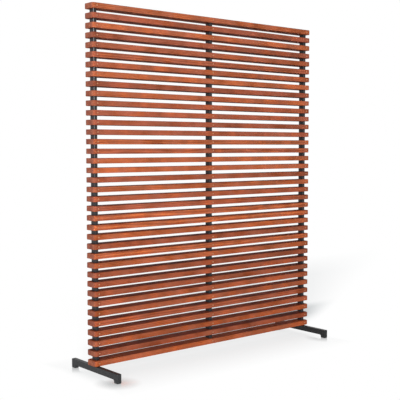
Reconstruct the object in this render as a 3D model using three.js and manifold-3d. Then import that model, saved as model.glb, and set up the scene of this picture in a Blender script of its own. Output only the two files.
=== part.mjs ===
// Free-standing garden privacy screen: hardwood slats threaded over three steel posts,
// standing on two steel bridge feet.
// Millimetres, +Z up. The front faces -Y. The origin is on the ground, midway between the
// feet and midway through the depth of the slats.

import * as THREE from 'three';
import { mergeVertices } from 'three/addons/utils/BufferGeometryUtils.js';
import Module from 'manifold-3d';

const wasm = await Module();
wasm.setup();

// Slats: X is their length, Y their depth, Z their height.
const slatCount = 38;
const slatLength = 1516;
const slatDepth = 74;
const slatHeight = 26;
const slatGap = 20;
const lowGap = 23; // the lowest gaps are a little wider than the rest
const lowGapCount = 6;
const slatEndRadius = 15; // the four upright corners
const slatEdgeRadius = 2.5; // the rims of the top and bottom faces

// Posts: rectangular steel tube.
const postCount = 3;
const postWidth = 18;
const postDepth = 36;
const postWall = 1.5;
const postCornerRadius = 3;
const postEndInset = 19; // from the end of a slat to the outer face of an outer post

// Feet: one solid steel bridge under each outer post.
const footLength = 405;
const footWidth = 23;
const footBarHeight = 30;
const footLegDepth = 30;
const footLegDrop = 14; // from the underside of the bar to the bottom of a leg
const footInnerRadius = 8;
const footOuterRadius = 2;
const footEase = 1.5;
const footToSlat = 5; // the post shows here between the foot and the lowest slat

// Glide pads under the legs.
const padThickness = 1;
const padMargin = 1; // the pad stays this far inside the edge of the leg
const padRadius = 2;

// Ribbed plugs that close the open tube ends.
const plugHead = 2.5;
const plugEase = 0.6;
const plugDepth = 18;
const plugFinCount = 3;
const plugFinThickness = 1.5;
const plugFinReach = 1.5;

// Bolt and threaded insert that hold a foot to its post.
const insertHeight = 25;
const boltDiameter = 8;
const boltLength = 40;
const boltHeadDiameter = 13;
const boltHeadHeight = 8;
const boltHeadRecess = 1; // the head sits this far up inside the bar
const boltSocketAcross = 6;
const boltSocketDepth = 4;

// One screw holds each slat to each post. Its clearance hole runs from the front of the slat
// to the mortise.
const screwHoleDiameter = 5;

// Clearances.
const mortiseFit = 0.4; // around a post in its mortise
const insertFit = 0.3; // around what is pushed into a tube
const boltFit = 0.3; // around the thread in its insert
const boltClearance = 0.5; // around the bolt in the foot
const seatGap = 0.3; // between pieces that rest on each other

// Facets on round forms.
const holeFacets = 6;
const boltFacets = 16;
const socketFacets = 6;
const filletSegments = 3;
const slatEndSegments = 2;
const edgeSegments = 1;

const quarter = Math.PI / 2;

const footHeight = padThickness + seatGap + footLegDrop + footBarHeight;
const postSpan = slatLength - 2 * postEndInset - postWidth; // between the outer posts' centres
const innerWidth = postWidth - 2 * postWall;
const innerDepth = postDepth - 2 * postWall;
const innerRadius = postCornerRadius - postWall;

const wood = [0xb7663c, 0xa9583c, 0xbb6e45, 0x9f5038, 0xb26042];
const steel = 0x34353a;
const plastic = 0x1d1d1f;
const rubber = 0x19191a;
const zinc = 0x9c9fa3;

function finish(color, roughness, metalness) {
  return new THREE.MeshStandardMaterial({ color, roughness, metalness });
}

function piece(name, geometry, material) {
  const mesh = new THREE.Mesh(geometry, material);
  mesh.name = name;
  return mesh;
}

// Closed mesh to solid, for cutting and joining.
function solid(geometry) {
  const bare = new THREE.BufferGeometry();
  bare.setAttribute('position', geometry.getAttribute('position'));
  bare.setIndex(geometry.getIndex());
  const merged = mergeVertices(bare);
  return new wasm.Manifold(new wasm.Mesh({
    numProp: 3,
    vertProperties: new Float32Array(merged.getAttribute('position').array),
    triVerts: new Uint32Array(merged.getIndex().array),
  }));
}

// Solid back to a flat-shaded mesh.
function geometryOf(body) {
  const { vertProperties, triVerts } = body.getMesh();
  const indexed = new THREE.BufferGeometry();
  indexed.setAttribute('position', new THREE.BufferAttribute(vertProperties, 3));
  indexed.setIndex(new THREE.BufferAttribute(triVerts, 1));
  const faceted = indexed.toNonIndexed();
  faceted.computeVertexNormals();
  return faceted;
}

function roundedRectangle(width, height, radius, Outline = THREE.Shape) {
  const outline = new Outline();
  const x = width / 2 - radius;
  const y = height / 2 - radius;
  outline.absarc(x, y, radius, 0, quarter);
  outline.absarc(-x, y, radius, quarter, 2 * quarter);
  outline.absarc(-x, -y, radius, 2 * quarter, 3 * quarter);
  outline.absarc(x, -y, radius, 3 * quarter, 4 * quarter);
  return outline;
}

// A profile pushed along +Z from 0 to length, its two rims eased.
function extrude(outline, length, ease = 0, curveSegments = edgeSegments) {
  const geometry = new THREE.ExtrudeGeometry(outline, {
    depth: length - 2 * ease,
    curveSegments,
    bevelEnabled: ease > 0,
    bevelThickness: ease,
    bevelSize: ease,
    bevelOffset: -ease,
    bevelSegments: 1,
  });
  return geometry.translate(0, 0, ease);
}

// Turns a profile drawn in Y and Z and pushed along its own axis so that it runs along X,
// centred.
function alongX(geometry, length) {
  const turn = new THREE.Matrix4().makeBasis(
    new THREE.Vector3(0, 1, 0),
    new THREE.Vector3(0, 0, 1),
    new THREE.Vector3(1, 0, 0),
  );
  return geometry.translate(0, 0, -length / 2).applyMatrix4(turn);
}

function slatBottom(level) {
  const wide = Math.min(level, lowGapCount) * lowGap;
  const regular = Math.max(level - lowGapCount, 0) * slatGap;
  return footHeight + footToSlat + level * slatHeight + wide + regular;
}

const postXs = Array.from({ length: postCount }, (_, index) => (
  (index / (postCount - 1) - 0.5) * postSpan
));

const slatUnderside = slatBottom(0);
const screenTop = slatBottom(slatCount - 1) + slatHeight;

// The hole that a post passes through, right through the height of the slat.
function mortise(x) {
  const width = postWidth + 2 * mortiseFit;
  const depth = postDepth + 2 * mortiseFit;
  return solid(new THREE.BoxGeometry(width, depth, 2 * slatHeight).translate(x, 0, 0));
}

// The screw's clearance hole, from outside the front face to inside the mortise.
function screwHole(x) {
  const radius = screwHoleDiameter / 2;
  const hole = new THREE.CylinderGeometry(radius, radius, slatDepth / 2, holeFacets);
  return solid(hole.translate(x, -slatDepth / 2, 0));
}

function slatGeometry() {
  const plan = roundedRectangle(slatLength, slatDepth, slatEndRadius);
  const board = extrude(plan, slatHeight, slatEdgeRadius, slatEndSegments);
  let slat = solid(board.translate(0, 0, -slatHeight / 2));
  for (const x of postXs) {
    slat = slat.subtract(mortise(x)).subtract(screwHole(x));
  }
  return geometryOf(slat);
}

function addSlats(screen) {
  const geometry = slatGeometry();
  for (let level = 0; level < slatCount; level += 1) {
    const name = `slat_${String(level + 1).padStart(2, '0')}`;
    const slat = piece(name, geometry, finish(wood[level % wood.length], 0.6, 0));
    slat.position.z = slatBottom(level) + slatHeight / 2;
    screen.add(slat);
  }
}

// An open tube from the bottom height to the top height.
function postGeometry(bottom, top) {
  const section = roundedRectangle(postWidth, postDepth, postCornerRadius);
  section.holes.push(roundedRectangle(innerWidth, innerDepth, innerRadius, THREE.Path));
  return extrude(section, top - bottom).translate(0, 0, bottom);
}

// A plug with its head on the tube end and its fins inside, drawn for an upper end at 0.
function plugGeometry() {
  const headOutline = roundedRectangle(postWidth, postDepth, postCornerRadius);
  const finWidth = innerWidth - 2 * insertFit;
  const finDepth = innerDepth - 2 * insertFit;
  const fin = roundedRectangle(finWidth, finDepth, innerRadius);
  const core = roundedRectangle(
    finWidth - 2 * plugFinReach,
    finDepth - 2 * plugFinReach,
    innerRadius,
  );
  const stem = extrude(core, plugDepth + plugHead / 2).translate(0, 0, -plugDepth);
  let plug = solid(extrude(headOutline, plugHead, plugEase)).add(solid(stem));
  const pitch = (plugDepth - plugFinThickness) / plugFinCount;
  for (let index = 0; index < plugFinCount; index += 1) {
    const height = index * pitch - plugDepth;
    plug = plug.add(solid(extrude(fin, plugFinThickness).translate(0, 0, height)));
  }
  return geometryOf(plug);
}

function addPosts(screen) {
  const names = ['left', 'middle', 'right'];
  const middle = (postCount - 1) / 2;
  const tubeTop = screenTop - plugHead - seatGap;
  const plug = plugGeometry();
  postXs.forEach((x, index) => {
    const carried = index === middle ? slatUnderside + plugHead : footHeight;
    const tubeBottom = carried + seatGap;
    const post = piece(`post_${names[index]}`, postGeometry(tubeBottom, tubeTop),
      finish(steel, 0.55, 0.4));
    post.position.x = x;
    const cap = piece(`top_plug_${names[index]}`, plug, finish(plastic, 0.6, 0));
    cap.position.set(x, 0, tubeTop + seatGap);
    screen.add(post, cap);
  });
  const bottomPlug = piece('bottom_plug_middle', plug, finish(plastic, 0.6, 0));
  bottomPlug.position.set(postXs[middle], 0, slatUnderside + plugHead);
  bottomPlug.rotation.y = Math.PI;
  screen.add(bottomPlug);
}

// Side view of a foot, drawn in Y and Z from its own lowest edge: a bar with a short leg
// turned down at each end and a fillet in each inner corner.
function footOutline() {
  const end = footLength / 2;
  const inner = end - footLegDepth;
  const top = footLegDrop + footBarHeight;
  const outline = new THREE.Shape();
  outline.moveTo(inner, 0);
  outline.lineTo(end, 0);
  outline.absarc(end - footOuterRadius, top - footOuterRadius, footOuterRadius, 0, quarter);
  outline.absarc(footOuterRadius - end, top - footOuterRadius, footOuterRadius,
    quarter, 2 * quarter);
  outline.lineTo(-end, 0);
  outline.lineTo(-inner, 0);
  outline.absarc(footInnerRadius - inner, footLegDrop - footInnerRadius, footInnerRadius,
    2 * quarter, quarter, true);
  outline.absarc(inner - footInnerRadius, footLegDrop - footInnerRadius, footInnerRadius,
    quarter, 0, true);
  return outline;
}

const headPocket = boltHeadHeight + boltHeadRecess; // up into the bar from its underside

// A turned solid from pairs of radius and height that start and end on the axis.
function turned(pairs) {
  const profile = pairs.map(([radius, height]) => new THREE.Vector2(radius, height));
  return new THREE.LatheGeometry(profile, boltFacets).rotateX(quarter);
}

// The bolt's way through the bar: a pocket for the head and a hole for the shank.
function boltHole() {
  const head = boltHeadDiameter / 2 + boltClearance;
  const shank = boltDiameter / 2 + boltClearance;
  const below = -footBarHeight;
  return solid(turned([
    [0, below],
    [head, below],
    [head, headPocket],
    [shank, headPocket],
    [shank, 2 * footBarHeight],
    [0, 2 * footBarHeight],
  ]));
}

function footGeometry() {
  const bridge = extrude(footOutline(), footWidth, footEase, filletSegments);
  const hole = boltHole().translate([0, 0, footLegDrop]);
  return geometryOf(solid(alongX(bridge, footWidth)).subtract(hole));
}

// A socket head bolt, drawn upwards from the seat of its head at 0.
function boltGeometry() {
  const head = boltHeadDiameter / 2;
  const shank = boltDiameter / 2;
  const bolt = solid(turned([
    [0, -boltHeadHeight],
    [head, -boltHeadHeight],
    [head, 0],
    [shank, 0],
    [shank, boltLength],
    [0, boltLength],
  ]));
  const radius = boltSocketAcross / 2 / Math.cos(Math.PI / socketFacets);
  const key = new THREE.CylinderGeometry(radius, radius, 2 * boltSocketDepth, socketFacets);
  return geometryOf(bolt.subtract(solid(key.rotateX(quarter).translate(0, 0, -boltHeadHeight))));
}

// The block in the lower end of an outer post that the bolt screws into.
function insertGeometry() {
  const width = innerWidth - 2 * insertFit;
  const depth = innerDepth - 2 * insertFit;
  const block = roundedRectangle(width, depth, innerRadius);
  const radius = boltDiameter / 2 + boltFit;
  const bore = new THREE.CylinderGeometry(radius, radius, 3 * insertHeight, boltFacets);
  return geometryOf(solid(extrude(block, insertHeight)).subtract(solid(bore.rotateX(quarter))));
}

function padGeometry() {
  const width = footWidth - 2 * padMargin;
  const depth = footLegDepth - 2 * padMargin;
  return extrude(roundedRectangle(width, depth, padRadius), padThickness);
}

function addFoot(screen, side, x) {
  const foot = new THREE.Group();
  const legBottom = padThickness + seatGap;
  const bridge = piece(`foot_${side}`, footGeometry(), finish(steel, 0.6, 0.4));
  bridge.position.z = legBottom;
  const bolt = piece(`foot_bolt_${side}`, boltGeometry(), finish(zinc, 0.35, 0.9));
  bolt.position.z = legBottom + footLegDrop + headPocket - seatGap;
  const insert = piece(`post_insert_${side}`, insertGeometry(), finish(zinc, 0.4, 0.9));
  insert.position.z = footHeight + seatGap;
  foot.add(bridge, bolt, insert);
  const legs = { front: -1, rear: 1 };
  for (const [end, direction] of Object.entries(legs)) {
    const pad = piece(`pad_${side}_${end}`, padGeometry(), finish(rubber, 0.9, 0));
    pad.position.y = direction * (footLength - footLegDepth) / 2;
    foot.add(pad);
  }
  foot.position.x = x;
  screen.add(foot);
}

function privacyScreen() {
  const screen = new THREE.Group();
  addSlats(screen);
  addPosts(screen);
  addFoot(screen, 'left', postXs[0]);
  addFoot(screen, 'right', postXs[postCount - 1]);
  return screen;
}

export default privacyScreen();
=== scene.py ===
import math
import random

import bpy
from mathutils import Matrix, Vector


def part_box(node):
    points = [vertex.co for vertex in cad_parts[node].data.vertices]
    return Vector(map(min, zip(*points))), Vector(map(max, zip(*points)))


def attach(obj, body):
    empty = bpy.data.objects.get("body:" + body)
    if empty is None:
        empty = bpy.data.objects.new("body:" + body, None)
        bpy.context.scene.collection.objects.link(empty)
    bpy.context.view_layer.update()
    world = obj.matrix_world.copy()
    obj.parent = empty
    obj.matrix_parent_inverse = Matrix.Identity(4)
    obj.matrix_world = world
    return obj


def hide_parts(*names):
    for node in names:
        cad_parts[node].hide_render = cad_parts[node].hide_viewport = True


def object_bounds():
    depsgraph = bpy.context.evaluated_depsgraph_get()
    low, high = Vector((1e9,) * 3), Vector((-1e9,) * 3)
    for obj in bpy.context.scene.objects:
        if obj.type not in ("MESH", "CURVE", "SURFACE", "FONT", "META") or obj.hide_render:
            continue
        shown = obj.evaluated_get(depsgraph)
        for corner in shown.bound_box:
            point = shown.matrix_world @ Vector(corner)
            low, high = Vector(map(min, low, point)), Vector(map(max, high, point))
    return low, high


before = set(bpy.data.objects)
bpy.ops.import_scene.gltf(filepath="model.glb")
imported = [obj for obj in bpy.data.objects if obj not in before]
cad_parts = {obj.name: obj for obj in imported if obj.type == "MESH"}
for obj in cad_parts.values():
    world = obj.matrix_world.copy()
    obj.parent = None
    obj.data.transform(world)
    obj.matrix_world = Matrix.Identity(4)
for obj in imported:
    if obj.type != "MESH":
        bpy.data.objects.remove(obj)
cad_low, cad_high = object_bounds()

# Garden privacy screen: 38 oiled hardwood slats on three powder-coated steel posts, on two
# steel bridge feet. Metres, the front faces -Y.

MM = 0.001
BODY = "root"
SIDES = ("left", "middle", "right")

SLAT_COUNT = 38
SLAT_RIM = 2.5 * MM           # radius of the rims of the top and bottom faces
SLAT_CORNER = 15 * MM         # radius of the four upright corners
MORTISE_FIT = 0.4 * MM        # around a post in its mortise
BAKE_THIRDS = 3               # each slat is unrolled in this many stretches
BAKE_MARGIN = 4 * MM

POST_WALL = 1.5 * MM
POST_CORNER = 3.0 * MM
# Base colour, pale specks, share of specks, grain scale and mirror share of the posts' coat.
POST_LOOK = ((0.010, 0.0096, 0.011), (0.08, 0.08, 0.08), 0.22, 1500.0, 0.26)
# Painted highlight on the left post's front left corner, in its upper half.
CORNER_HIGHLIGHT_PAINT = (0.34, 0.33, 0.34)

FOOT_LEG = 30 * MM
FOOT_DROP = 14 * MM
FOOT_FILLET = 8 * MM
FOOT_CORNER = 2.0 * MM
FOOT_LEG_CORNER = 1.6 * MM
FOOT_EASE = 1.5 * MM
POCKET_RADIUS = 7.0 * MM      # for the head of the foot's bolt
POCKET_DEPTH = 9.0 * MM
BOLT_HOLE_RADIUS = 4.5 * MM
BOLT_HOLE_DEPTH = 20 * MM     # above the pocket
# The left foot is the paler of the two in the photo, and is painted so: one coat, painted lighter on
# the left foot and darker on the right, a painted light and shade.
FOOT_PAINTED_LIGHT = {"left": 0.023, "right": 0.014}
# The rest of the feet's coat, in the order of the posts' coat.
FOOT_COAT = ((0.12, 0.12, 0.12), 0.50, 900.0, 0.10)

SINK_RADIUS = 5.2 * MM        # countersink at the face of the slat
SINK_BORE = 2.6 * MM
SINK_DEPTH = 5.0 * MM
HEAD_RADIUS = 4.6 * MM        # raised countersunk screw head
HEAD_RECESS = 0.6 * MM
HEAD_DOME = 0.9 * MM
HEAD_FLAT = 2.35 * MM         # radius of the flat round the drive recess
DRIVE_RADIUS = 1.75 * MM
DRIVE_LOBE = 0.35 * MM
DRIVE_LOBES = 6
DRIVE_DEPTH = 1.6 * MM
DRIVE_TAPER = 0.92            # size of the recess's floor against its mouth
ROUND = 24                    # facets on round forms

# Slats that are clearly darker or lighter than the rest of the batch.
DARK_SLATS = (2, 8, 10, 13, 20, 26, 30, 35, 37)
LIGHT_SLATS = (1, 12, 14, 15, 16, 21, 22, 31, 36)

SEED_SHIFT = 37.0             # moves the grain on from one slat to the next
SLAT_PITCH = 46 * MM
RING_PHASE = 1050.0           # radians for each metre from the pith: a ring every 6 mm
RING_WANDER = 22 * MM
RING_RIPPLE = 3.5 * MM


# ---------------------------------------------------------------- mesh building

class Sheet:
    """Gathers a mesh face by face, with a normal and a place on the unrolled sheet at each corner."""

    def __init__(self):
        self.points = []
        self.known = {}
        self.faces = []
        self.normals = []
        self.places = []
        self.edges = {}

    def vertex(self, point, edge):
        key = tuple(round(value * 1e7) for value in point)
        if key not in self.known:
            self.known[key] = len(self.points)
            self.points.append(tuple(point))
        number = self.known[key]
        self.edges[number] = max(edge, self.edges.get(number, 0.0))
        return number

    def face(self, corners, edge=0.0):
        """corners: (point, normal, place) in order, in either direction."""
        numbers = [self.vertex(point, edge) for point, _, _ in corners]
        kept = [i for i in range(len(numbers)) if numbers[i] != numbers[i - 1]]
        if len(kept) < 3:
            return
        corners = [corners[i] for i in kept]
        numbers = [numbers[i] for i in kept]
        area = Vector((0, 0, 0))
        for i in range(len(corners)):
            area += Vector(corners[i - 1][0]).cross(Vector(corners[i][0]))
        out = sum((Vector(normal) for _, normal, _ in corners), Vector((0, 0, 0)))
        if area.dot(out) < 0:
            corners.reverse()
            numbers.reverse()
        self.faces.append(numbers)
        self.normals += [Vector(normal).normalized() for _, normal, _ in corners]
        self.places += [place for _, _, place in corners]

    def build(self, name, materials, mapped=True):
        mesh = bpy.data.meshes.new(name)
        mesh.from_pydata(self.points, [], self.faces)
        if mapped:
            layer = mesh.uv_layers.new(name="OFBake")
            widest = max(max(place) for place in self.places) + BAKE_MARGIN
            for i, (u, v) in enumerate(self.places):
                layer.data[i].uv = (u / widest, v / widest)
        wear = mesh.attributes.new("edge", "FLOAT", "POINT")
        wear.data.foreach_set("value", [self.edges[i] for i in range(len(self.points))])
        for polygon in mesh.polygons:
            polygon.use_smooth = True
        for material in materials:
            mesh.materials.append(material)
        mesh.normals_split_custom_set(self.normals)
        piece = bpy.data.objects.new(name, mesh)
        bpy.context.scene.collection.objects.link(piece)
        return piece


def set_look(piece, tone, shade, seed, painted_top_light_and_tone):
    """Stores what makes one slat differ from the next, with its painted light by height, read by the
    wood material.
    """
    look = piece.data.attributes.new("look", "FLOAT_COLOR", "POINT")
    for value in look.data:
        value.color = (tone, shade, seed, painted_top_light_and_tone)


def arc(centre_y, centre_z, radius, first, last, steps):
    """Points round a corner in the YZ plane as (y, z, normal y, normal z)."""
    points = []
    for step in range(steps + 1):
        angle = math.radians(first + (last - first) * step / steps)
        y, z = math.cos(angle), math.sin(angle)
        points.append((centre_y + radius * y, centre_z + radius * z, y, z))
    return points


def along(points):
    """Adds to each point of a path its distance from the start."""
    travelled, result = 0.0, []
    for i, point in enumerate(points):
        if i:
            before = points[i - 1]
            travelled += math.hypot(point[0] - before[0], point[1] - before[1])
        result.append((*point, travelled))
    return result


# ---------------------------------------------------------------- slats

def slat_rim(height):
    """Profile of the rim from underside to top: (out, z, normal out, normal up, distance)."""
    z = height / 2 - SLAT_RIM
    path = arc(-SLAT_RIM, -z, SLAT_RIM, -90, 0, 4)
    path += arc(-SLAT_RIM, z, SLAT_RIM, 0, 90, 4)
    return along(path)


def slat_end(straight_x, half_y, direction):
    """Plan of one end from front to back: (x, y, normal x, normal y, distance)."""
    y = half_y - SLAT_CORNER
    corner = arc(straight_x, -y, SLAT_CORNER, -90, 0, 6)
    corner += arc(straight_x, y, SLAT_CORNER, 0, 90, 6)
    return [(direction * x, y, direction * nx, ny, run) for x, y, nx, ny, run in along(corner)]


def bored_cell(sheet, frame_corners, centre, normal, rings, place_of):
    """A flat cell with a round recess: the rings are (radius, depth, normal outwards share)."""
    across = [Vector(corner[0]) - Vector(centre) for corner in frame_corners]
    side = (across[1] - across[0]).normalized()
    up = Vector(normal).cross(side)
    loops = []
    shrink = 0.0
    for number, (radius, depth, lean) in enumerate(rings):
        if number:
            shrink += math.hypot(radius - rings[number - 1][0], depth - rings[number - 1][1])
        loop = []
        for i in range(ROUND):
            turn = 2 * math.pi * (i + 0.5) / ROUND
            out = side * math.cos(turn) + up * math.sin(turn)
            point = Vector(centre) + out * radius - Vector(normal) * depth
            facing = Vector(normal) * lean - out * math.sqrt(max(0.0, 1 - lean * lean))
            spread = rings[0][0] - 0.8 * shrink
            place = place_of(Vector(centre) + out * spread)
            loop.append((point, facing, place))
        loops.append(loop)
    # The flat cell round the recess: a fan from each corner, and a triangle on each side.
    rim = loops[0]
    flat = [(point, normal, place) for point, _, place in rim]
    owner = []
    for point, _, _ in flat:
        reach = [(Vector(corner[0]) - point).length for corner in frame_corners]
        owner.append(reach.index(min(reach)))
    for i in range(ROUND):
        j = (i + 1) % ROUND
        a, b = owner[i], owner[j]
        sheet.face([frame_corners[a], flat[i], flat[j]])
        if a != b:
            sheet.face([frame_corners[a], flat[j], frame_corners[b]])
    for outer, inner in zip(loops, loops[1:]):
        for i in range(ROUND):
            j = (i + 1) % ROUND
            sheet.face([outer[i], outer[j], inner[j], inner[i]])
    last = loops[-1]
    sheet.face([(point, normal, place) for point, _, place in last])


def make_slat(level, material):
    node = f"slat_{level:02d}"
    low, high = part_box(node)
    half_y, height = (high.y - low.y) / 2, high.z - low.z
    centre_z = (low.z + high.z) / 2
    rng = random.Random(500 + level)
    half_x = (high.x - low.x) / 2 - rng.uniform(0.0, 0.4) * MM
    straight = half_x - SLAT_CORNER
    flat = half_y - SLAT_RIM
    rim = slat_rim(height)
    rise = rim[-1][4]
    around = 2 * (2 * flat + rise) + BAKE_MARGIN
    stretch = 2 * half_x / BAKE_THIRDS
    cells = [(x - MORTISE_X, x + MORTISE_X) for x in POST_X]
    cuts = [half_x * (2 * i / BAKE_THIRDS - 1) for i in range(1, BAKE_THIRDS)]
    stations = sorted([-straight, straight, *cuts, *(edge for cell in cells for edge in cell)])
    strips = [-flat, -MORTISE_Y, MORTISE_Y, flat]
    sheet = Sheet()

    def row_of(x):
        return min(BAKE_THIRDS - 1, max(0, int((x + half_x) / stretch)))

    def unrolled(x, run, row):
        return (x + half_x - row * stretch + BAKE_MARGIN, run + row * around + BAKE_MARGIN)

    def on_flat(x, y, up, row):
        run = flat - y if up < 0 else 2 * flat + rise + flat + y
        return (x, y, centre_z + up * height / 2), (0, 0, up), unrolled(x, run, row)

    def on_side(x, side, point, row):
        out, z, normal_out, normal_up, run = point
        spot = (x, side * (half_y + out), centre_z + z)
        run = 2 * flat + run if side < 0 else 2 * (2 * flat + rise) - run
        return spot, (0, side * normal_out, normal_up), unrolled(x, run, row)

    for left, right in zip(stations, stations[1:]):
        middle = (left + right) / 2
        row = row_of(middle)
        in_cell = any(a < middle < b for a, b in cells)
        for up in (-1, 1):
            for front, back in zip(strips, strips[1:]):
                if in_cell and front == -MORTISE_Y:
                    continue
                corners = ((left, front), (right, front), (right, back), (left, back))
                sheet.face([on_flat(x, y, up, row) for x, y in corners])
        for side in (-1, 1):
            for first, second in zip(rim, rim[1:]):
                corners = ((left, first), (right, first), (right, second), (left, second))
                corners = [on_side(x, side, point, row) for x, point in corners]
                upright = first[3] == 0 == second[3]
                if in_cell and side < 0 and upright:
                    start = 2 * flat + first[4] - first[1]
                    rings = [
                        (SINK_RADIUS, 0.0, 0.7),
                        (SINK_BORE, SINK_RADIUS - SINK_BORE, 0.7),
                        (SINK_BORE, SINK_DEPTH, 0.0),
                    ]
                    bored_cell(
                        sheet, corners, (middle, -half_y, centre_z), (0, -1, 0), rings,
                        lambda p: unrolled(p.x, start + p.z - centre_z, row),
                    )
                    continue
                sheet.face(corners, edge=0.0 if upright else 1.0)

    row_top = BAKE_THIRDS * around + BAKE_MARGIN
    shift = BAKE_MARGIN
    for direction in (-1, 1):
        end = slat_end(straight, half_y, direction)
        row = row_of(direction * half_x)
        for first, second in zip(end, end[1:]):
            for lower, upper in zip(rim, rim[1:]):
                corners = []
                for plan, point in ((first, lower), (second, lower), (second, upper), (first, upper)):
                    x, y, nx, ny, travelled = plan
                    out, z, normal_out, normal_up, climbed = point
                    spot = (x + out * nx, y + out * ny, centre_z + z)
                    normal = (nx * normal_out, ny * normal_out, normal_up)
                    corners.append((spot, normal, (shift + travelled, row_top + climbed)))
                sheet.face(corners, edge=0.0 if lower[3] == 0 == upper[3] else 1.0)
        shift += end[-1][4] + BAKE_MARGIN
        for up in (-1, 1):
            inset = [(x - SLAT_RIM * nx, y - SLAT_RIM * ny) for x, y, nx, ny, _ in end]
            inner = [(direction * straight, y) for y in (MORTISE_Y, -MORTISE_Y)]
            sheet.face([on_flat(x, y, up, row) for x, y in inset + inner])
    for left, right in cells:
        loop = [(left, -MORTISE_Y), (right, -MORTISE_Y), (right, MORTISE_Y), (left, MORTISE_Y)]
        for i in range(4):
            (x0, y0), (x1, y1) = loop[i], loop[(i + 1) % 4]
            length = abs(x1 - x0) + abs(y1 - y0)
            inwards = ((left + right - x0 - x1) / 2, -(y0 + y1) / 2, 0)
            corners = []
            for (x, y), z, u in (((x0, y0), -1, 0), ((x1, y1), -1, length),
                                 ((x1, y1), 1, length), ((x0, y0), 1, 0)):
                point = (x, y, centre_z + z * height / 2)
                corners.append((point, inwards, (shift + u, row_top + (z + 1) * height / 2)))
            sheet.face(corners)
            shift += length
        shift += BAKE_MARGIN

    slat = sheet.build(f"wood_{node}", [material])
    tone = rng.uniform(0.15, 0.85)
    shade = rng.uniform(0.38, 0.62)
    if level in DARK_SLATS:
        tone, shade = rng.uniform(0.75, 1.0), rng.uniform(0.1, 0.25)
    if level in LIGHT_SLATS:
        tone, shade = rng.uniform(0.0, 0.25), rng.uniform(0.75, 0.9)
    # Painted light by height: higher slats get more of the paler, cooler cast, with a little random
    # spread.
    painted_top_light_and_tone = (level - 1) / (SLAT_COUNT - 1) + rng.uniform(-0.15, 0.15)
    set_look(slat, tone, shade, rng.random(), min(1.0, max(0.0, painted_top_light_and_tone)))
    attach(slat, BODY)
    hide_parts(node)


# ---------------------------------------------------------------- screws

def head_profile():
    """Outside of a raised countersunk head as (radius, height above its rim)."""
    profile = []
    for step in range(5):
        share = step / 4
        radius = HEAD_RADIUS * (1 - share) + HEAD_FLAT * share
        rise = HEAD_DOME * (1 - (radius / HEAD_RADIUS) ** 2)
        profile.append((radius, rise))
    return profile


def add_screw(sheet, x, front, z, turn):
    """A screw seen from the front: dome, rim and a six-lobed drive recess."""
    def at(radius, angle, rise):
        angle += turn
        return (x + radius * math.cos(angle), front - rise, z + radius * math.sin(angle))

    rim = front + HEAD_RECESS
    profile = head_profile()
    loops = []
    below = [(SINK_BORE * 0.9, -(HEAD_RADIUS - SINK_BORE) * 0.95, (0.7, -0.7))]
    edge = [(HEAD_RADIUS, -0.15 * MM, (1.0, 0.0))]
    for radius, rise, (out, up) in below + edge:
        loops.append((radius, rise, out, up))
    for radius, rise in profile:
        slope = 2 * HEAD_DOME * radius / HEAD_RADIUS ** 2
        length = math.hypot(1, slope)
        loops.append((radius, rise, slope / length, 1 / length))
    rings = []
    for radius, rise, out, up in loops:
        ring = []
        for i in range(ROUND):
            angle = 2 * math.pi * i / ROUND
            point = at(radius, angle, rise - HEAD_RECESS)
            normal = (out * math.cos(angle + turn), -up, out * math.sin(angle + turn))
            ring.append((point, normal, (0, 0)))
        rings.append(ring)
    for lower, upper in zip(rings, rings[1:]):
        for i in range(ROUND):
            j = (i + 1) % ROUND
            sheet.face([lower[i], lower[j], upper[j], upper[i]])
    # Drive recess: six lobes, with slightly tapered walls and a flat floor.
    top_rise = profile[-1][1]
    lobes, floor = [], []
    for i in range(ROUND):
        angle = 2 * math.pi * i / ROUND
        radius = DRIVE_RADIUS + DRIVE_LOBE * math.cos(DRIVE_LOBES * angle)
        mouth = top_rise - HEAD_RECESS
        lobes.append((at(radius, angle, mouth), (0, -1, 0), (0, 0)))
        floor.append((at(radius * DRIVE_TAPER, angle, mouth - DRIVE_DEPTH), (0, -1, 0), (0, 0)))
    inner = rings[-1]
    for i in range(ROUND):
        j = (i + 1) % ROUND
        flat_inner = [(inner[i][0], (0, -1, 0), (0, 0)), (inner[j][0], (0, -1, 0), (0, 0))]
        sheet.face([flat_inner[0], flat_inner[1], lobes[j], lobes[i]])
        angle = 2 * math.pi * i / ROUND + turn
        wall = (-math.cos(angle), 0, -math.sin(angle))
        sheet.face([(point, wall, (0, 0)) for point, _, _ in (lobes[i], lobes[j], floor[j], floor[i])])
    sheet.face(floor)


def make_screws(side, x, material):
    sheet = Sheet()
    rng = random.Random(900 + SIDES.index(side))
    for level in range(1, SLAT_COUNT + 1):
        low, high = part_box(f"slat_{level:02d}")
        turn = rng.uniform(0, math.pi)
        add_screw(sheet, x, low.y, (low.z + high.z) / 2, turn)
    screws = sheet.build(f"screws_{side}", [material], mapped=False)
    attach(screws, BODY)


# ---------------------------------------------------------------- posts and feet

def rounded_loop(half_x, half_y, radius, steps):
    """Round a rectangle in plan, as (x, y, normal x, normal y, distance)."""
    x, y = half_x - radius, half_y - radius
    path = arc(x, y, radius, 0, 90, steps)
    path += arc(-x, y, radius, 90, 180, steps)
    path += arc(-x, -y, radius, 180, 270, steps)
    path += arc(x, -y, radius, 270, 360, steps)
    path.append(path[0])
    return along(path)


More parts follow.
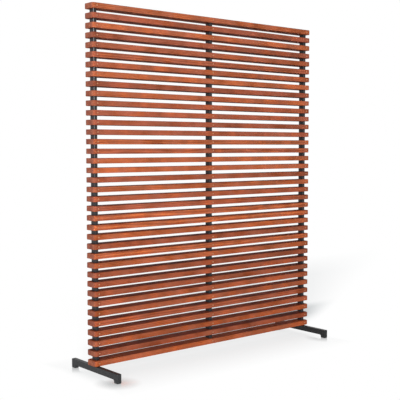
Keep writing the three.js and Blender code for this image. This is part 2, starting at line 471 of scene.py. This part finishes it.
def make_post(side, material):
    node = f"post_{side}"
    low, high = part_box(node)
    centre = (low + high) / 2
    half_x, half_y = (high.x - low.x) / 2, (high.y - low.y) / 2
    outer = rounded_loop(half_x, half_y, POST_CORNER, 6)
    inner = rounded_loop(half_x - POST_WALL, half_y - POST_WALL, POST_CORNER - POST_WALL, 3)
    rows = 4
    step = (high.z - low.z) / rows
    around = outer[-1][4] + BAKE_MARGIN
    sheet = Sheet()
    for row in range(rows):
        bottom = low.z + row * step
        for first, second in zip(outer, outer[1:]):
            corners = []
            for point, rise in ((first, 0), (second, 0), (second, step), (first, step)):
                place = (centre.x + point[0], centre.y + point[1], bottom + rise)
                on_sheet = (BAKE_MARGIN + rise, BAKE_MARGIN + row * around + point[4])
                corners.append((place, (point[2], point[3], 0), on_sheet))
            bent = abs(first[2] - second[2]) > 1e-6
            sheet.face(corners, edge=1.0 if bent else 0.0)
    # Inside of the tube, drawn small on the sheet, and the two cut ends.
    spare = BAKE_MARGIN + rows * around
    for first, second in zip(inner, inner[1:]):
        corners = []
        for point, z in ((first, low.z), (second, low.z), (second, high.z), (first, high.z)):
            place = (centre.x + point[0], centre.y + point[1], z)
            on_sheet = (BAKE_MARGIN + (z - low.z) / rows, spare + point[4] / rows)
            corners.append((place, (-point[2], -point[3], 0), on_sheet))
        sheet.face(corners)
    spare += inner[-1][4] / rows + BAKE_MARGIN
    for z, up in ((low.z, -1), (high.z, 1)):
        for i in range(len(outer) - 1):
            share = i / (len(outer) - 1)
            later = (i + 1) / (len(outer) - 1)
            a, b = outer[i], outer[i + 1]
            c = inner[round(later * (len(inner) - 1))]
            d = inner[round(share * (len(inner) - 1))]
            corners = []
            for point in (a, b, c, d):
                place = (centre.x + point[0], centre.y + point[1], z)
                shift = BAKE_MARGIN + half_x + (2 * half_x + BAKE_MARGIN) * (up > 0)
                corners.append((place, (0, 0, up), (shift + point[0], spare + half_y + point[1])))
            sheet.face(corners)
    post = sheet.build(f"coated_{node}", [material])
    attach(post, BODY)
    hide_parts(node)


def foot_path(low, high):
    """Side view of a foot in Y and Z, as a closed path with its outward normals."""
    front, rear, bottom, top = low.y, high.y, low.z, high.z
    r, f = FOOT_CORNER, FOOT_FILLET
    low_r = FOOT_LEG_CORNER
    under = bottom + FOOT_DROP
    path = arc(rear - r, top - r, r, 0, 90, 5)
    path += arc(front + r, top - r, r, 90, 180, 5)
    path += arc(front + low_r, bottom + low_r, low_r, 180, 270, 5)
    path += arc(front + FOOT_LEG - low_r, bottom + low_r, low_r, 270, 360, 5)
    fillet = arc(front + FOOT_LEG + f, under - f, f, 180, 90, 8)
    path += [(y, z, -ny, -nz) for y, z, ny, nz in fillet]
    path += [(-POCKET_RADIUS - MM, under, 0, -1), (POCKET_RADIUS + MM, under, 0, -1)]
    fillet = arc(rear - FOOT_LEG - f, under - f, f, 90, 0, 8)
    path += [(y, z, -ny, -nz) for y, z, ny, nz in fillet]
    path += arc(rear - FOOT_LEG + low_r, bottom + low_r, low_r, 180, 270, 5)
    path += arc(rear - low_r, bottom + low_r, low_r, 270, 360, 5)
    path.append(path[0])
    return along(path)


def make_foot(side, material):
    node = f"foot_{side}"
    low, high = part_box(node)
    centre_x = (low.x + high.x) / 2
    half = (high.x - low.x) / 2
    path = foot_path(low, high)
    layers = []
    for step in range(4):
        angle = math.radians(30 * step)
        inset = FOOT_EASE * (1 - math.sin(angle))
        layers.append((half - FOOT_EASE * (1 - math.cos(angle)), inset, angle))
    stations = [(-x, inset, angle) for x, inset, angle in layers]
    stations += [(x, inset, angle) for x, inset, angle in reversed(layers)]
    sheet = Sheet()

    def at(station, point):
        x, inset, angle = station
        place = (centre_x + x, point[0] - point[2] * inset, point[1] - point[3] * inset)
        side_share = math.cos(angle) * (1 if x > 0 else -1)
        normal = (side_share, point[2] * math.sin(angle), point[3] * math.sin(angle))
        return place, normal, (0, 0)

    for number, (before, after) in enumerate(zip(stations, stations[1:])):
        for first, second in zip(path, path[1:]):
            corners = [at(before, first), at(after, first), at(after, second), at(before, second)]
            pocket = first[3] == -1 and abs(first[0] + second[0]) < 1e-9 and first[0] != second[0]
            if number == 3 and pocket and abs(first[0]) < 0.02:
                rings = [
                    (POCKET_RADIUS, 0.0, 0.0),
                    (POCKET_RADIUS, POCKET_DEPTH, 0.0),
                    (BOLT_HOLE_RADIUS, POCKET_DEPTH, 1.0),
                    (BOLT_HOLE_RADIUS, POCKET_DEPTH + BOLT_HOLE_DEPTH, 0.0),
                ]
                hole = (centre_x, 0, first[1])
                bored_cell(sheet, corners, hole, (0, 0, -1), rings, lambda p: (0, 0))
                continue
            turned = abs(first[2] - second[2]) > 1e-6 and first[4] != second[4]
            sheet.face(corners, edge=1.0 if turned or before[1] + after[1] > 0 else 0.0)
    for station, out in ((stations[0], -1), (stations[-1], 1)):
        sheet.face([(at(station, point)[0], (out, 0, 0), (0, 0)) for point in path[:-1]])
    foot = sheet.build(f"coated_{node}", [material], mapped=False)
    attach(foot, BODY)
    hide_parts(node)


# ---------------------------------------------------------------- materials

class Nodes:
    """Short names for building a material's node tree."""

    def __init__(self, name):
        self.material = bpy.data.materials.new(name)
        self.material.use_nodes = True
        self.tree = self.material.node_tree
        self.tree.nodes.clear()
        self.output = self.add("ShaderNodeOutputMaterial")
        self.shader = self.add("ShaderNodeBsdfPrincipled")
        self.link(self.shader.outputs[0], self.output.inputs[0])

    def add(self, kind, **settings):
        node = self.tree.nodes.new(kind)
        for key, value in settings.items():
            setattr(node, key, value)
        return node

    def link(self, source, target):
        self.tree.links.new(source, target)

    def feed(self, target, value):
        if isinstance(value, bpy.types.NodeSocket):
            self.link(value, target)
        else:
            target.default_value = value

    def math(self, operation, *values, clamp=False):
        node = self.add("ShaderNodeMath", operation=operation, use_clamp=clamp)
        for socket, value in zip(node.inputs, values):
            self.feed(socket, value)
        return node.outputs[0]

    def length(self, place):
        node = self.add("ShaderNodeVectorMath", operation="LENGTH")
        self.link(place, node.inputs[0])
        return node.outputs["Value"]

    def combine(self, x, y, z):
        node = self.add("ShaderNodeCombineXYZ")
        for socket, value in zip(node.inputs, (x, y, z)):
            self.feed(socket, value)
        return node.outputs[0]

    def split(self, source):
        node = self.add("ShaderNodeSeparateXYZ")
        self.link(source, node.inputs[0])
        return node.outputs

    def noise(self, place, scale, detail=2.0, roughness=0.5):
        node = self.add("ShaderNodeTexNoise")
        self.link(place, node.inputs["Vector"])
        self.feed(node.inputs["Scale"], scale)
        node.inputs["Detail"].default_value = detail
        node.inputs["Roughness"].default_value = roughness
        return node.outputs["Fac"]

    def remap(self, value, low, high, to_low=0.0, to_high=1.0, smooth=False):
        node = self.add("ShaderNodeMapRange", interpolation_type="SMOOTHSTEP" if smooth else "LINEAR")
        for socket, number in zip(node.inputs, (value, low, high, to_low, to_high)):
            self.feed(socket, number)
        return node.outputs[0]

    def ramp(self, value, stops):
        node = self.add("ShaderNodeValToRGB")
        elements = node.color_ramp.elements
        while len(elements) < len(stops):
            elements.new(0.5)
        for element, (position, color) in zip(elements, stops):
            element.position = position
            element.color = (*color, 1.0)
        self.link(value, node.inputs[0])
        return node.outputs[0]

    def mix(self, share, first, second, blend="MIX"):
        node = self.add("ShaderNodeMix", data_type="RGBA", blend_type=blend)
        self.feed(node.inputs[0], share)
        for socket, value in ((node.inputs[6], first), (node.inputs[7], second)):
            self.feed(socket, value if isinstance(value, bpy.types.NodeSocket) else (*value, 1.0))
        return node.outputs[2]

    def attribute(self, name):
        return self.add("ShaderNodeAttribute", attribute_type="GEOMETRY", attribute_name=name)

    def place(self):
        return self.add("ShaderNodeTexCoord").outputs["Object"]

    def bump(self, height, distance, strength):
        node = self.add("ShaderNodeBump")
        node.inputs["Strength"].default_value = strength
        node.inputs["Distance"].default_value = distance
        self.link(height, node.inputs["Height"])
        self.link(node.outputs[0], self.shader.inputs["Normal"])


def hardwood():
    """Oiled reddish hardwood: growth rings round a pith beside each slat, pores and tone patches."""
    n = Nodes("oiled_hardwood")
    look = n.attribute("look")
    tone, shade, seed = n.split(look.outputs["Color"])
    x, y, z = n.split(n.place())
    drift = n.math("MULTIPLY", seed, SEED_SHIFT)

    # A slow wander lets the rings drift in and out of each face along the slat.
    run = n.combine(n.math("MULTIPLY", x, 1.6), n.math("ADD", n.math("MULTIPLY", y, 3.0), drift), z)
    wander = n.math("SUBTRACT", n.noise(run, 1.0, 2.0), 0.5)
    pith_y = n.math("ADD", y, n.remap(seed, 0.0, 1.0, -0.11, 0.10))
    turn = n.math("MULTIPLY", n.math("FRACT", n.math("MULTIPLY", seed, 7.3)), 0.16)
    row = n.math("SUBTRACT", n.math("MODULO", n.math("ADD", z, drift), SLAT_PITCH), SLAT_PITCH / 2)
    pith_z = n.math("ADD", row, n.math("ADD", turn, 0.03))
    reach = n.math("SQRT", n.math("ADD", n.math("POWER", pith_y, 2.0), n.math("POWER", pith_z, 2.0)))
    reach = n.math("ADD", reach, n.math("MULTIPLY", wander, RING_WANDER))
    fibre_place = n.combine(n.math("MULTIPLY", x, 5.0), n.math("ADD", y, drift), z)
    ripple = n.noise(fibre_place, 60.0, 2.0, 0.6)
    reach = n.math("ADD", reach, n.math("MULTIPLY", ripple, RING_RIPPLE))
    rings = n.math("SINE", n.math("MULTIPLY", reach, RING_PHASE))
    rings = n.remap(rings, -1.0, 1.0, 0.0, 1.0)
    rings = n.math("POWER", rings, 1.6)

    # Fine fibres and pores run along the slat.
    thin = n.combine(n.math("MULTIPLY", x, 0.022), n.math("ADD", y, drift), z)
    fibres = n.noise(thin, 620.0, 3.0, 0.65)
    pores_at = n.combine(n.math("MULTIPLY", x, 0.05), n.math("ADD", y, drift), z)
    pores = n.remap(n.noise(pores_at, 1500.0, 1.0), 0.62, 0.72, 0.0, 1.0)
    patch_y = n.math("ADD", n.math("MULTIPLY", y, 1.4), drift)
    patches_at = n.combine(n.math("MULTIPLY", x, 0.42), patch_y, z)
    patches = n.noise(patches_at, 22.0, 2.0, 0.5)
    clouds = n.noise(n.combine(x, y, n.math("ADD", z, drift)), 8.0, 2.0, 0.6)

    grain = n.math("ADD", n.math("MULTIPLY", rings, 0.42), n.math("MULTIPLY", fibres, 0.58))
    light = n.ramp(grain, [
        (0.18, (0.210, 0.038, 0.013)),
        (0.42, (0.355, 0.072, 0.024)),
        (0.62, (0.445, 0.104, 0.032)),
        (0.86, (0.545, 0.155, 0.048)),
    ])
    dark = n.ramp(grain, [
        (0.18, (0.135, 0.024, 0.016)),
        (0.42, (0.240, 0.044, 0.030)),
        (0.62, (0.310, 0.062, 0.042)),
        (0.86, (0.390, 0.090, 0.056)),
    ])
    patched = n.remap(patches, 0.35, 0.65, -0.40, 0.50)
    warmth = n.math("ADD", n.math("MULTIPLY", tone, 0.75), patched, clamp=True)
    colour = n.mix(warmth, light, dark)
    clouded = n.remap(clouds, 0.35, 0.65, -0.28, 0.28)
    level = n.math("ADD", n.remap(shade, 0.0, 1.0, 0.80, 1.24), clouded)
    bright = n.combine(level, level, level)
    colour = n.mix(1.0, colour, bright, "MULTIPLY")
    # Higher slats are painted a little paler and cooler, as they look in the photo: painted light,
    # lighter towards the top, with a little random spread from slat to slat.
    top_light_and_tone_cast = n.mix(look.outputs["Alpha"], (0.96, 0.90, 0.82), (1.04, 1.11, 1.24))
    colour = n.mix(1.0, colour, top_light_and_tone_cast, "MULTIPLY")
    colour = n.mix(n.math("MULTIPLY", pores, 0.45), colour, (0.12, 0.028, 0.014))

    # End grain drinks more oil, and the rounded edges are rubbed a little paler.
    facing = n.split(n.add("ShaderNodeNewGeometry").outputs["Normal"])
    end = n.remap(n.math("ABSOLUTE", facing[0]), 0.6, 0.9, 0.0, 1.0)
    speckle = n.noise(n.combine(n.math("MULTIPLY", x, 0.1), n.math("ADD", y, drift), z), 1300.0, 2.0)
    end_colour = n.mix(n.remap(speckle, 0.35, 0.65), (0.134, 0.040, 0.033), (0.236, 0.080, 0.064))
    colour = n.mix(n.math("MULTIPLY", end, 0.8), colour, end_colour)
    edge = n.attribute("edge").outputs["Fac"]
    rubbed = n.math("MULTIPLY", edge, n.remap(patches, 0.35, 0.65, 0.05, 0.35))
    colour = n.mix(rubbed, colour, (0.52, 0.185, 0.085))

    n.link(colour, n.shader.inputs["Base Color"])
    rough = n.math("ADD", n.remap(fibres, 0.3, 0.7, 0.56, 0.70), n.math("MULTIPLY", end, 0.12))
    n.link(rough, n.shader.inputs["Roughness"])
    n.shader.inputs["Specular IOR Level"].default_value = 0.03
    relief = n.math("SUBTRACT", n.math("MULTIPLY", grain, 0.8), n.math("MULTIPLY", pores, 0.6))
    n.bump(relief, 0.00025, 0.6)
    return n.material


def powder_coat(name, base, pale, speck, grain_scale, mirror, painted_highlight=None):
    """Fine-textured powder coat on steel, rubbed paler on its edges, with an optional painted
    highlight on the upper front left corner.
    """
    n = Nodes(name)
    place = n.place()
    texture = n.noise(place, grain_scale, 3.0, 0.6)
    blotch = n.noise(place, 14.0, 2.0, 0.5)
    colour = n.mix(n.remap(blotch, 0.35, 0.65), base, tuple(1.25 * c for c in base))
    specks = n.remap(n.noise(place, grain_scale * 1.4, 0.0), 0.66, 0.74)
    colour = n.mix(n.math("MULTIPLY", specks, speck), colour, pale)
    edge = n.attribute("edge").outputs["Fac"]
    worn = n.math("MULTIPLY", edge, n.remap(texture, 0.45, 0.65, 0.15, 0.75))
    colour = n.mix(worn, colour, tuple(2.1 * c for c in base))
    if painted_highlight:
        # A paler colour on the front left corner, in the upper half. It stands in for the
        # highlight that the photo shows there.
        x, y, _ = n.split(n.add("ShaderNodeNewGeometry").outputs["Normal"])
        flat = n.math("MAXIMUM", n.math("ABSOLUTE", x), n.math("ABSOLUTE", y))
        corner = n.remap(flat, 0.86, 0.96, 1.0, 0.0)
        corner = n.math("MULTIPLY", corner, n.math("LESS_THAN", n.math("MAXIMUM", x, y), -0.05))
        high = n.remap(n.split(place)[2], 0.85, 1.45)
        high = n.math("MULTIPLY", high, n.remap(texture, 0.35, 0.65, 0.7, 1.0))
        colour = n.mix(n.math("MULTIPLY", corner, high), colour, painted_highlight)
    n.link(colour, n.shader.inputs["Base Color"])
    n.link(n.remap(texture, 0.3, 0.7, 0.32, 0.48), n.shader.inputs["Roughness"])
    n.shader.inputs["Specular IOR Level"].default_value = mirror
    n.bump(texture, 0.0002, 0.5)
    return n.material


def moulded_plastic():
    """Black moulded plastic with a fine grain."""
    n = Nodes("moulded_plastic")
    place = n.place()
    grain = n.noise(place, 1800.0, 2.0)
    tint = n.noise(place, 60.0, 2.0)
    n.link(n.mix(tint, (0.012, 0.012, 0.013), (0.022, 0.022, 0.023)), n.shader.inputs["Base Color"])
    n.link(n.remap(grain, 0.3, 0.7, 0.45, 0.65), n.shader.inputs["Roughness"])
    n.bump(grain, 0.0001, 0.6)
    return n.material


def pad_rubber():
    """Black rubber with a little dust."""
    n = Nodes("pad_rubber")
    place = n.place()
    grain = n.noise(place, 900.0, 3.0)
    dust = n.noise(place, 120.0, 2.0)
    colour = n.mix(n.remap(dust, 0.5, 0.75), (0.018, 0.018, 0.018), (0.055, 0.052, 0.048))
    n.link(colour, n.shader.inputs["Base Color"])
    n.link(n.remap(grain, 0.3, 0.7, 0.75, 0.95), n.shader.inputs["Roughness"])
    n.bump(grain, 0.0002, 0.5)
    return n.material


def fastener_steel(name, tint):
    """Turned metal with fine scratches, in a plating of the given tint."""
    n = Nodes(name)
    place = n.place()
    scratch = n.noise(place, 2600.0, 3.0, 0.7)
    stain = n.noise(place, 190.0, 2.0)
    colour = n.mix(n.remap(stain, 0.35, 0.65), tint, tuple(0.72 * c for c in tint))
    n.link(colour, n.shader.inputs["Base Color"])
    n.link(n.remap(scratch, 0.3, 0.7, 0.24, 0.42), n.shader.inputs["Roughness"])
    n.shader.inputs["Metallic"].default_value = 1.0
    n.bump(scratch, 0.00004, 0.4)
    return n.material


# ---------------------------------------------------------------- stage

# The camera that was fitted to the photo.
PHOTO_PIXELS = 400
FOCAL_PIXELS = 833.07
SENSOR_WIDTH = 36
CAMERA_AT = (-2.9359, -3.3931, 1.1175)
CAMERA_DIP = 3.649            # degrees below level
CAMERA_TURN = -40.266         # degrees about Z: it looks to the rear and the right
CAMERA_SHIFT = -0.0016

KEY_AT = (-5.8, -5.2, 1.5)
KEY_SIZE = 3.6
SHADE_SPREAD = 0.5            # half the soft border of its shade, for each metre behind the screen
SHADE_EDGE = 0.04             # the same, right at the screen
SHADE_START = (0.12, 0.40)    # metres behind the screen between which the shade sets in
# The shade's white share by distance behind the screen, fitted to the photo's lowest gaps:
# from, to and how much whiter.
SHADE_FADES = ((0.50, 0.62, 0.72), (1.5, 2.3, 0.28))
LIT_AHEAD = (0.07, 0.38)      # the floor turns white between these distances in Y and in X
LIT_ASIDE = (0.71, 0.82)
LIT_SHIFT = 0.02              # this border lies so far to the left, fitted to the photo
LIT_SHARE = 0.75              # white share under the screen
FLOOR_REACH = 30.0
FLOOR_DROP = 0.4 * MM
SHEEN = 0.55                  # share of mirror at the foot of a leg
SHEEN_REACH = 0.12
SHEEN_LEGS = ("pad_left_front", "pad_left_rear", "pad_right_front", "pad_right_rear")


def sheen_under(n, x, y, leg):
    """Share of polish on the floor round one leg, fading alike on every side."""
    low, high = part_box(leg)
    beyond = n.math("SUBTRACT", x, (low.x + high.x) / 2)
    before = n.math("SUBTRACT", y, (low.y + high.y) / 2)
    distance = n.length(n.combine(beyond, before, 0.0))
    return n.math("POWER", n.remap(distance, 0.0, SHEEN_REACH, 1.0, 0.0), 1.2)


def past_border(n, x, y, edge):
    """Place of x across the soft border of the key lamp's shade past one edge: -1 to 1."""
    slope = (edge - KEY_AT[0]) / -KEY_AT[1]
    border = n.math("ADD", n.math("MULTIPLY", y, slope), edge)
    soft = n.math("ADD", n.math("MULTIPLY", n.math("MAXIMUM", y, 0.0), SHADE_SPREAD), SHADE_EDGE)
    return n.math("DIVIDE", n.math("SUBTRACT", x, border), soft)


def shade_behind(n, x, y):
    """White share of the floor where the screen hides the key lamp."""
    shaded = n.math(
        "MINIMUM",
        n.remap(past_border(n, x, y, cad_low[0]), -1.0, 1.0, 0.0, 1.0, smooth=True),
        n.remap(past_border(n, x, y, cad_high[0]), -1.0, 1.0, 1.0, 0.0, smooth=True),
    )
    behind = n.remap(y, *SHADE_START, 0.0, 1.0, smooth=True)
    lit = n.math("ADD", *(n.remap(y, near, far, 0.0, gain) for near, far, gain in SHADE_FADES))
    dark = n.math("MULTIPLY", n.math("MULTIPLY", shaded, behind), n.math("SUBTRACT", 1.0, lit))
    return n.math("SUBTRACT", 1.0, dark)


def make_floor():
    """A plain pale floor with the object's soft shadow, turning into the white background."""
    n = Nodes("pale_floor")
    mesh = bpy.data.meshes.new("floor")
    signs = ((-1, -1), (1, -1), (1, 1), (-1, 1))
    mesh.from_pydata([(FLOOR_REACH * x, FLOOR_REACH * y, 0) for x, y in signs], [], [(0, 1, 2, 3)])
    mesh.materials.append(n.material)
    floor = bpy.data.objects.new("floor", mesh)
    floor.location.z = -FLOOR_DROP
    bpy.context.scene.collection.objects.link(floor)

    n.shader.inputs["Base Color"].default_value = (0.78, 0.87, 0.90, 1)
    n.shader.inputs["Roughness"].default_value = 0.5
    n.shader.inputs["Specular IOR Level"].default_value = 0.2
    white = n.add("ShaderNodeEmission")
    white.inputs["Strength"].default_value = 1.0
    x, y, _ = n.split(n.place())
    ahead = n.remap(n.math("ABSOLUTE", y), *LIT_AHEAD, 0.0, 1.0)
    across = n.math("ABSOLUTE", n.math("ADD", x, LIT_SHIFT))
    aside = n.remap(across, *LIT_ASIDE, 0.0, 1.0, smooth=True)
    fade = n.remap(n.math("MAXIMUM", ahead, aside), 0.0, 1.0, LIT_SHARE, 1.0)
    fade = n.math("MINIMUM", fade, shade_behind(n, x, y))
    path = n.add("ShaderNodeLightPath")
    seen = n.math("MAXIMUM", path.outputs["Is Camera Ray"], path.outputs["Is Glossy Ray"])
    seen = n.math("MAXIMUM", seen, path.outputs["Is Transmission Ray"])
    mixed = n.add("ShaderNodeMixShader")
    n.link(n.math("MULTIPLY", fade, seen), mixed.inputs[0])
    n.link(n.shader.outputs[0], mixed.inputs[1])
    n.link(white.outputs[0], mixed.inputs[2])

    # A faint polish round the legs, which mirrors them.
    polish = n.add("ShaderNodeBsdfPrincipled")
    polish.inputs["Base Color"].default_value = (1, 1, 1, 1)
    polish.inputs["Metallic"].default_value = 1.0
    polish.inputs["Roughness"].default_value = 0.12
    sheen = None
    for leg in SHEEN_LEGS:
        share = sheen_under(n, x, y, leg)
        sheen = share if sheen is None else n.math("MAXIMUM", sheen, share)
    sheen = n.math("MULTIPLY", n.math("MULTIPLY", sheen, SHEEN), path.outputs["Is Camera Ray"])
    polished = n.add("ShaderNodeMixShader")
    n.link(sheen, polished.inputs[0])
    n.link(mixed.outputs[0], polished.inputs[1])
    n.link(polish.outputs[0], polished.inputs[2])
    n.link(polished.outputs[0], n.output.inputs[0])


def make_world():
    world = bpy.data.worlds.new("studio")
    bpy.context.scene.world = world
    world.use_nodes = True
    tree = world.node_tree
    tree.nodes.clear()
    output = tree.nodes.new("ShaderNodeOutputWorld")
    mixed = tree.nodes.new("ShaderNodeMixShader")
    soft = tree.nodes.new("ShaderNodeBackground")
    soft.inputs[0].default_value = (0.97, 0.985, 1.0, 1)
    soft.inputs[1].default_value = 0.27
    white = tree.nodes.new("ShaderNodeBackground")
    white.inputs[0].default_value = (1, 1, 1, 1)
    white.inputs[1].default_value = 1.0
    path = tree.nodes.new("ShaderNodeLightPath")
    first = tree.nodes.new("ShaderNodeMath")
    first.operation = "MAXIMUM"
    second = tree.nodes.new("ShaderNodeMath")
    second.operation = "MAXIMUM"
    tree.links.new(path.outputs["Is Camera Ray"], first.inputs[0])
    tree.links.new(path.outputs["Is Glossy Ray"], first.inputs[1])
    tree.links.new(first.outputs[0], second.inputs[0])
    tree.links.new(path.outputs["Is Transmission Ray"], second.inputs[1])
    tree.links.new(second.outputs[0], mixed.inputs[0])
    tree.links.new(soft.outputs[0], mixed.inputs[1])
    tree.links.new(white.outputs[0], mixed.inputs[2])
    tree.links.new(mixed.outputs[0], output.inputs[0])


def make_lamp(name, place, target, size, power):
    lamp = bpy.data.lights.new(name, "AREA")
    lamp.shape = "SQUARE"
    lamp.size = size
    lamp.energy = power
    holder = bpy.data.objects.new(name, lamp)
    holder.location = place
    towards = Vector(target) - Vector(place)
    holder.rotation_euler = towards.to_track_quat("-Z", "Y").to_euler()
    bpy.context.scene.collection.objects.link(holder)


def make_camera():
    camera = bpy.data.cameras.new("camera")
    camera.sensor_width = SENSOR_WIDTH
    camera.lens = FOCAL_PIXELS / PHOTO_PIXELS * SENSOR_WIDTH
    camera.shift_y = CAMERA_SHIFT
    camera.clip_end = 200
    holder = bpy.data.objects.new("camera", camera)
    holder.location = CAMERA_AT
    holder.rotation_euler = (math.radians(90 - CAMERA_DIP), 0, math.radians(CAMERA_TURN))
    bpy.context.scene.collection.objects.link(holder)
    bpy.context.scene.camera = holder


# ---------------------------------------------------------------- assembly

def give_material(node, material):
    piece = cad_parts[node]
    piece.data.materials.clear()
    piece.data.materials.append(material)


post_boxes = [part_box(f"post_{side}") for side in SIDES]
POST_X = [(low.x + high.x) / 2 for low, high in post_boxes]
post_low, post_high = post_boxes[-1]
MORTISE_X = (post_high.x - post_low.x) / 2 + MORTISE_FIT
MORTISE_Y = (post_high.y - post_low.y) / 2 + MORTISE_FIT

wood = hardwood()
post_coat = powder_coat("post_coat", *POST_LOOK)
# The left post's coat carries a painted highlight on its front left corner.
left_post_coat = powder_coat("painted_highlight_post_coat", *POST_LOOK, painted_highlight=CORNER_HIGHLIGHT_PAINT)
plastic = moulded_plastic()
rubber = pad_rubber()
bronzed = fastener_steel("bronzed_screws", (0.53, 0.26, 0.14))
zinc = fastener_steel("zinc_plated", (0.55, 0.56, 0.58))

for level in range(1, SLAT_COUNT + 1):
    make_slat(level, wood)
for side, x in zip(SIDES, POST_X):
    make_screws(side, x, bronzed)
    make_post(side, left_post_coat if side == "left" else post_coat)
    give_material(f"top_plug_{side}", plastic)
give_material("bottom_plug_middle", plastic)
# Each foot gets its own copy of the coat, with painted light and shade in its base colour.
for side, shade in FOOT_PAINTED_LIGHT.items():
    coat = powder_coat(f"{side}_painted_light_foot_coat", (shade, shade, 1.03 * shade), *FOOT_COAT)
    make_foot(side, coat)
    give_material(f"foot_bolt_{side}", zinc)
    give_material(f"post_insert_{side}", zinc)
    for end in ("front", "rear"):
        give_material(f"pad_{side}_{end}", rubber)

make_floor()
make_world()
make_lamp("key", KEY_AT, (-0.3, 0, 1.0), KEY_SIZE, 668)
make_lamp("fill", (2.4, -4.2, 1.2), (0, 0, 0.9), 2.2, 22)
make_lamp("top", (-0.5, 0.3, 4.4), (0, 0, 0), 3.0, 12)
make_camera()

bpy.context.scene.view_settings.view_transform = "Standard"
